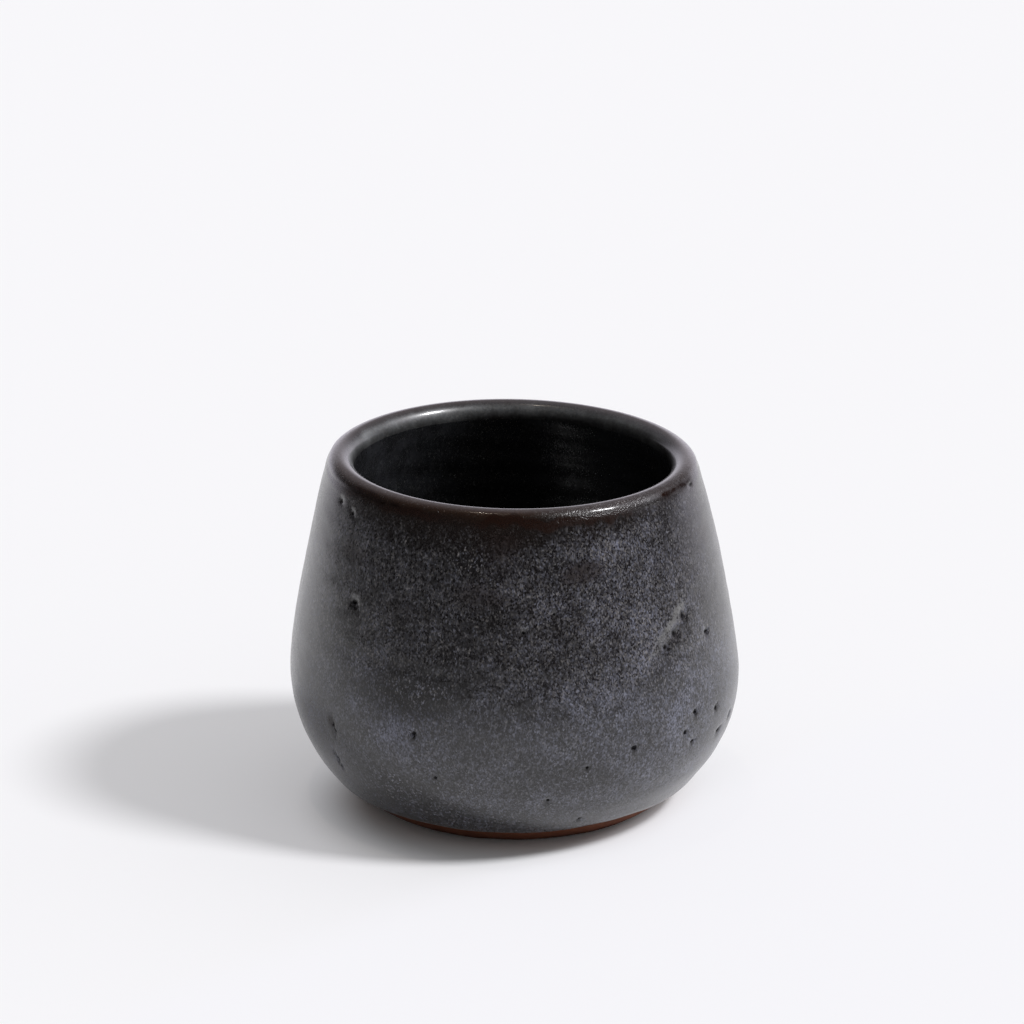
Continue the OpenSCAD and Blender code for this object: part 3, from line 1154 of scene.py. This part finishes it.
# Painted shade in the pits.
colour = fired.blend_colour(pit_shade, colour, PIT_SHADE_COLOUR)
fired.link(colour, result["Colour"])
print("colour wired,", len(fired.tree.nodes), "nodes so far")

# %% [markdown]
# Thick glaze is satin and thin glaze is glossy, and the grain breaks the gloss up. A glossy
# black would still mirror the studio. A black metal reflects next to nothing, so pits and
# dry edges are given black metal and lose their clear coat: painted shade, dark and without
# reflection.

# %% Gloss and height of the fired glaze
DRY_ROUGHNESS = 0.60
PIT_ROUGHNESS = 0.35
USUAL_COAT = 0.5

rough = fired.blend(thick, given["Gloss"], given["Satin"])
rough = fired.plus(rough, fired.times(patch, 0.15))
glossy_grain = fired.times(grain, fired.blend(mark("calm"), 0.6, 0.1))
rough = fired.plus(rough, fired.times(glossy_grain, thick), clamp=True)
# Rust where the glaze is dull: the dark edges under the lip's roll and the left gouge, painted shade as
# black metal.
dry_and_shaded = fired.times(rusty, mark("dull"), clamp=True)
rough = fired.blend(dry_and_shaded, rough, DRY_ROUGHNESS)
rough = fired.blend(pit_shade, rough, PIT_ROUGHNESS)
fired.link(rough, result["Roughness"])
# Black metal in the pits and on the dark edges: painted shade with no reflection.
fired.link(fired.math("MAXIMUM", dry_and_shaded, pit_shade), result["Metal"])

bald = fired.math("MAXIMUM", pit_shade, fired.times(frayed, 0.5))
bald = fired.math("MAXIMUM", bald, mark("dull"), clamp=True)
coat = fired.plus(fired.times(glossy_grain, 1.67), USUAL_COAT, clamp=True)
fired.link(fired.blend(bald, coat, 0.0), result["Coat"])
sparkle = fired.times(fired.times(grain, mark("lip_grain")), 22.0)
fired.link(fired.plus(fired.times(crystals, 0.6), sparkle), result["Height"])
print("fired glaze group:", len(fired.tree.nodes), "nodes")

# %% [markdown]
# ## Materials
# Each glaze is one Principled shader that takes what varies from the fired glaze group. The
# clear coat over it stands for the glassy skin of the glaze. The lip band is glossier and
# the liner nearly black.

# %% Glaze materials
def new_material(name):
    """A material with one Principled shader, its wiring, and that shader."""
    material = bpy.data.materials.new(name)
    material.use_nodes = True
    return material, Wiring(material.node_tree), material.node_tree.nodes["Principled BSDF"]


def glaze_material(name, inputs=None, coat_roughness=0.22):
    """A glaze whose colours, gloss and fine relief come from the fired glaze group."""
    material, wiring, shader = new_material(name)
    glaze = wiring.node("ShaderNodeGroup", inputs, node_tree=fired.tree).outputs
    bump = wiring.node("ShaderNodeBump", {"Height": glaze["Height"], "Distance": 0.00002})
    shader.inputs["IOR"].default_value = 1.5
    shader.inputs["Coat IOR"].default_value = 1.5
    shader.inputs["Coat Roughness"].default_value = coat_roughness
    wiring.link(glaze["Colour"], shader.inputs["Base Color"])
    wiring.link(glaze["Roughness"], shader.inputs["Roughness"])
    wiring.link(glaze["Metal"], shader.inputs["Metallic"])
    wiring.link(glaze["Coat"], shader.inputs["Coat Weight"])
    wiring.link(bump.outputs["Normal"], shader.inputs["Normal"])
    return material


speckled_charcoal = glaze_material("speckled_charcoal")
broken_brown = glaze_material(
    "broken_brown",
    {
        "Crystal": (0.172, 0.180, 0.188, 1),
        "Warm Crystal": (0.184, 0.182, 0.176, 1),
        "Gloss": 0.18,
    },
    coat_roughness=0.14,
)
liner_black = glaze_material(
    "liner_black",
    {
        "Ground": (0.0035, 0.0036, 0.0040, 1),
        "Crystal": (0.056, 0.058, 0.068, 1),
        "Warm Crystal": (0.056, 0.058, 0.062, 1),
        "Satin": 0.28,
    },
)
print("three glazes mixed")

# %% [markdown]
# Bare stoneware is matt and gritty. It toasts to a red brown in the kiln, darker in some
# places than in others, with dark grains of iron in it.

# %% Bare clay material
DARK_TOAST = (0.08, 0.021, 0.007, 1)
LIGHT_TOAST = (0.12, 0.036, 0.014, 1)
IRON_GRAIN = (0.04, 0.014, 0.007, 1)

fired_clay, wiring, shader = new_material("fired_clay")
cup_space = wiring.object_space()
grit = wiring.noise(cup_space, 1500.0, 3.0, 0.7)
toast = wiring.soft_step(wiring.noise(cup_space, 140.0, 4.0), 0.35, 0.65)
clay_colour = wiring.blend_colour(toast, DARK_TOAST, LIGHT_TOAST)
clay_colour = wiring.blend_colour(wiring.soft_step(grit, 0.58, 0.72), clay_colour, IRON_GRAIN)
bump = wiring.node("ShaderNodeBump", {"Height": grit, "Distance": 0.00005})
shader.inputs["Specular IOR Level"].default_value = 0.25
wiring.link(clay_colour, shader.inputs["Base Color"])
wiring.link(wiring.blend(grit, 0.75, 0.95), shader.inputs["Roughness"])
wiring.link(bump.outputs["Normal"], shader.inputs["Normal"])
print("bare clay ready")

# %% [markdown]
# Each piece takes its material, rides on the cup's one body, and stands for the CAD node of
# the same shape.

# %% Dress the pieces and set them on the frame
for piece, node_name, material, slot in [
    (clay_body, "clay_body", fired_clay, "bare_clay"),
    (outer_glaze, "outer_glaze", speckled_charcoal, "charcoal_glaze"),
    (lip_glaze, "lip_glaze", broken_brown, "brown_glaze"),
    (liner_glaze, "liner_glaze", liner_black, "black_glaze"),
]:
    piece.data.materials.append(material)
    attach(piece, "root")
    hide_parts(node_name)
    print(piece.name, "stands for", node_name, "in", material.name)

# %% [markdown]
# ## The floor
# The cup stands on a white sweep. A part of the floor's white is its own glow, so that it
# is nearly white in the picture without more light on the cup, and more of it in front on
# the right, where the photograph shows hardly any shadow. Close round the foot nothing
# glows, which keeps the contact shadow. Light Path limits the glow to what is seen directly
# or in a reflection, so it lights nothing.

# %% Mix the white of the floor
FLOOR_WHITE = (0.895, 0.893, 0.905)
GLOW_WHITE = (0.925, 0.920, 0.960, 1)
FLOOR_GLOW = 0.34
FRONT_GLOW = 0.75
FRONT_RIGHT = (0.7, -0.7, 0.0)
FRONT_RIGHT_FROM = 0.018
FRONT_RIGHT_FULL = 0.036
CONTACT_SHADOW = (0.0, -0.009, 0.0)
CONTACT_INNER = 0.027
CONTACT_OUTER = 0.044
CONTACT_PULL_IN = 0.010


def plain_material(name, colour):
    """A matt material in one colour, for the studio only, with its wiring and its shader."""
    material, wiring, shader = new_material(name)
    shader.inputs["Base Color"].default_value = (*colour, 1)
    shader.inputs["Roughness"].default_value = 1.0
    shader.inputs["Specular IOR Level"].default_value = 0.0
    material.cycles.emission_sampling = "NONE"
    return material, wiring, shader


def seen_rays(wiring):
    """1 for rays from the camera and for those that carry reflections, 0 for the rest."""
    path = wiring.node("ShaderNodeLightPath").outputs
    seen = wiring.plus(path["Is Camera Ray"], path["Is Glossy Ray"])
    return wiring.plus(seen, path["Is Transmission Ray"], clamp=True)


white_floor, wiring, shader = plain_material("white_floor", FLOOR_WHITE)
where = wiring.object_space()
front_right = wiring.vector("DOT_PRODUCT", where, FRONT_RIGHT)["Value"]
lit_side = wiring.soft_step(front_right, FRONT_RIGHT_FROM, FRONT_RIGHT_FULL)
from_foot = wiring.vector("DISTANCE", where, CONTACT_SHADOW)["Value"]
from_foot = wiring.plus(from_foot, wiring.times(lit_side, CONTACT_PULL_IN))
open_floor = wiring.soft_step(from_foot, CONTACT_INNER, CONTACT_OUTER)
glowing = wiring.times(open_floor, wiring.blend(lit_side, FLOOR_GLOW, FRONT_GLOW))
share = wiring.times(seen_rays(wiring), glowing)
glow = wiring.node("ShaderNodeEmission", {"Color": GLOW_WHITE}).outputs[0]
floor_mix = wiring.node("ShaderNodeMixShader", {0: share, 1: shader.outputs[0], 2: glow})
wiring.link(floor_mix.outputs[0], wiring.tree.nodes["Material Output"].inputs["Surface"])
print("floor white:", len(wiring.tree.nodes), "nodes")

# %% Lay the floor
FLOOR_HALF = 14.0

floor_mesh = bpy.data.meshes.new("floor")
floor_sides = ((-1, -1), (1, -1), (1, 1), (-1, 1))
floor_corners = [(FLOOR_HALF * x, FLOOR_HALF * y, 0) for x, y in floor_sides]
floor_mesh.from_pydata(floor_corners, [], [(0, 1, 2, 3)])
floor_mesh.materials.append(white_floor)
floor = bpy.data.objects.new("floor", floor_mesh)
bpy.context.scene.collection.objects.link(floor)
print(f"floor of {2 * FLOOR_HALF:.0f} m")

# %% [markdown]
# ## What the glaze reflects
# Glossy dark glaze mostly shows what it reflects. The front of the cup reflects a dark room
# behind the camera, its sides and its lip the bright backdrop, a soft box high at the back
# and the lamp on the right. A dome round the cup, which only glossy rays see, glows like
# that and hides the rest of the studio from the glaze.

# %% Build the dome
SCREEN_RADIUS = 0.4
SCREEN_COLUMNS = 48
SCREEN_RINGS = 16

screen_turn = np.linspace(0, 2 * math.pi, SCREEN_COLUMNS + 1)[:-1]
screen_rise = np.radians(np.linspace(0, 89, SCREEN_RINGS))
rise, turn = np.meshgrid(screen_rise, screen_turn, indexing="ij")
screen_places = [np.cos(rise) * np.cos(turn), np.cos(rise) * np.sin(turn), np.sin(rise)]
screen_places = SCREEN_RADIUS * np.stack(screen_places, axis=-1)
index = np.arange(rise.size).reshape(rise.shape)
after = next_column(index)
screen_faces = np.stack([index[:-1], after[:-1], after[1:], index[1:]], axis=-1)
screen_faces = screen_faces.reshape(-1, 4).tolist() + [index[-1].tolist()]
screen_mesh = bpy.data.meshes.new("dark_screen")
screen_mesh.from_pydata(screen_places.reshape(-1, 3).tolist(), [], screen_faces)
dark_screen = bpy.data.objects.new("dark_screen", screen_mesh)
dark_screen.visible_camera = False
dark_screen.visible_diffuse = False
dark_screen.visible_shadow = False
bpy.context.scene.collection.objects.link(dark_screen)
print("dome of", len(screen_faces), "faces")

# %% [markdown]
# The dome's glow depends on the direction from the height of the rim. The backdrop is
# bright towards the back and falls off upwards. The soft box and the lamp are painted
# reflections: soft spots of glow round a direction.

# %% Make the dome glow
RIM_LEVEL = (0.0, 0.0, 0.06)
SCREEN_TINT = (0.93, 0.895, 1.0, 1)
FRONT_GLEAM = 0.04
BACKDROP_SLOPE = 1.5
BACKDROP_TO_RIGHT = 0.10
BACKDROP_FROM = 0.15
BACKDROP_FULL = 0.72
# Direction, sharpness and strength of each spot.
SOFTBOX = ((0.0, 0.64, 0.77), 5.0, 0.5)
LAMP_GLEAM = ((0.75, 0.05, 0.66), 14.0, 1.9)

reflection_glow, wiring, shader = plain_material("reflection_glow", (0.0, 0.0, 0.0))
from_rim = wiring.vector("SUBTRACT", wiring.object_space(), RIM_LEVEL)["Vector"]
towards = wiring.vector("NORMALIZE", from_rim)["Vector"]
direction = wiring.node("ShaderNodeSeparateXYZ", {0: towards}).outputs
above = wiring.math("MAXIMUM", direction["Z"], 0.0)
backdrop = wiring.math("SUBTRACT", direction["Y"], wiring.times(above, BACKDROP_SLOPE))
backdrop = wiring.plus(backdrop, wiring.times(direction["X"], BACKDROP_TO_RIGHT))
backdrop = wiring.soft_step(backdrop, BACKDROP_FROM, BACKDROP_FULL)
shine = wiring.blend(backdrop, FRONT_GLEAM, 1.0)
for middle, sharpness, strength in (SOFTBOX, LAMP_GLEAM):
    facing = wiring.vector("DOT_PRODUCT", towards, middle)["Value"]
    spot = wiring.math("POWER", wiring.math("MAXIMUM", facing, 0.0), sharpness)
    shine = wiring.plus(shine, wiring.times(spot, strength))
wiring.link(shine, shader.inputs["Emission Strength"])
shader.inputs["Emission Color"].default_value = SCREEN_TINT
screen_mesh.materials.append(reflection_glow)
print("dome glows with", len(reflection_glow.node_tree.nodes), "nodes")

# %% [markdown]
# ## Light
# One soft lamp high on the right throws the cup's shadow to the left, and a weak, warm one
# straight above puts a glint on the lip. The sky fills the shadow, a little more from the
# right and the back. The camera and the reflections see plain white instead of that sky.

# %% Lamps
KEY_SIDE = (0.625, -0.132, 0.765)
GLINT_SIDE = (-0.13, 0.0, 0.95)


def sun_lamp(name, towards, strength, spread, colour):
    """A far lamp in the direction `towards`, as wide as `spread` degrees in the sky."""
    data = bpy.data.lights.new(name, "SUN")
    data.energy = strength
    data.angle = math.radians(spread)
    data.color = colour
    data.cycles.use_multiple_importance_sampling = False
    lamp = bpy.data.objects.new(name, data)
    lamp.rotation_euler = Vector(towards).to_track_quat("Z", "Y").to_euler()
    bpy.context.scene.collection.objects.link(lamp)
    return lamp


soft_key = sun_lamp("soft_key", KEY_SIDE, strength=2.4, spread=11, colour=(0.985, 0.985, 1.0))
warm_glint = sun_lamp("warm_glint", GLINT_SIDE, strength=0.09, spread=1.5, colour=(1.0, 0.85, 0.7))
print("lamps:", soft_key.name, warm_glint.name)

# %% Surroundings
SKY = 0.449
SKY_TO_RIGHT = 0.23
SKY_TO_BACK = 0.20
SEEN_WHITE = 1.05

world = bpy.data.worlds.new("surroundings")
world.use_nodes = True
wiring = Wiring(world.node_tree)
towards = wiring.node("ShaderNodeTexCoord").outputs["Generated"]
towards = wiring.node("ShaderNodeSeparateXYZ", {0: towards}).outputs
sky = wiring.times(towards["X"], SKY_TO_RIGHT)
sky = wiring.plus(sky, wiring.times(towards["Y"], SKY_TO_BACK))
sky = wiring.plus(sky, SKY)
background = world.node_tree.nodes["Background"]
background.inputs["Color"].default_value = (1, 1, 1, 1)
wiring.link(wiring.blend(seen_rays(wiring), sky, SEEN_WHITE), background.inputs["Strength"])
bpy.context.scene.world = world
bpy.context.scene.view_settings.view_transform = "Standard"
print("sky of strength", SKY)

# %% [markdown]
# ## Sizes
# The dressed cup has to fill the same box as the CAD frame.
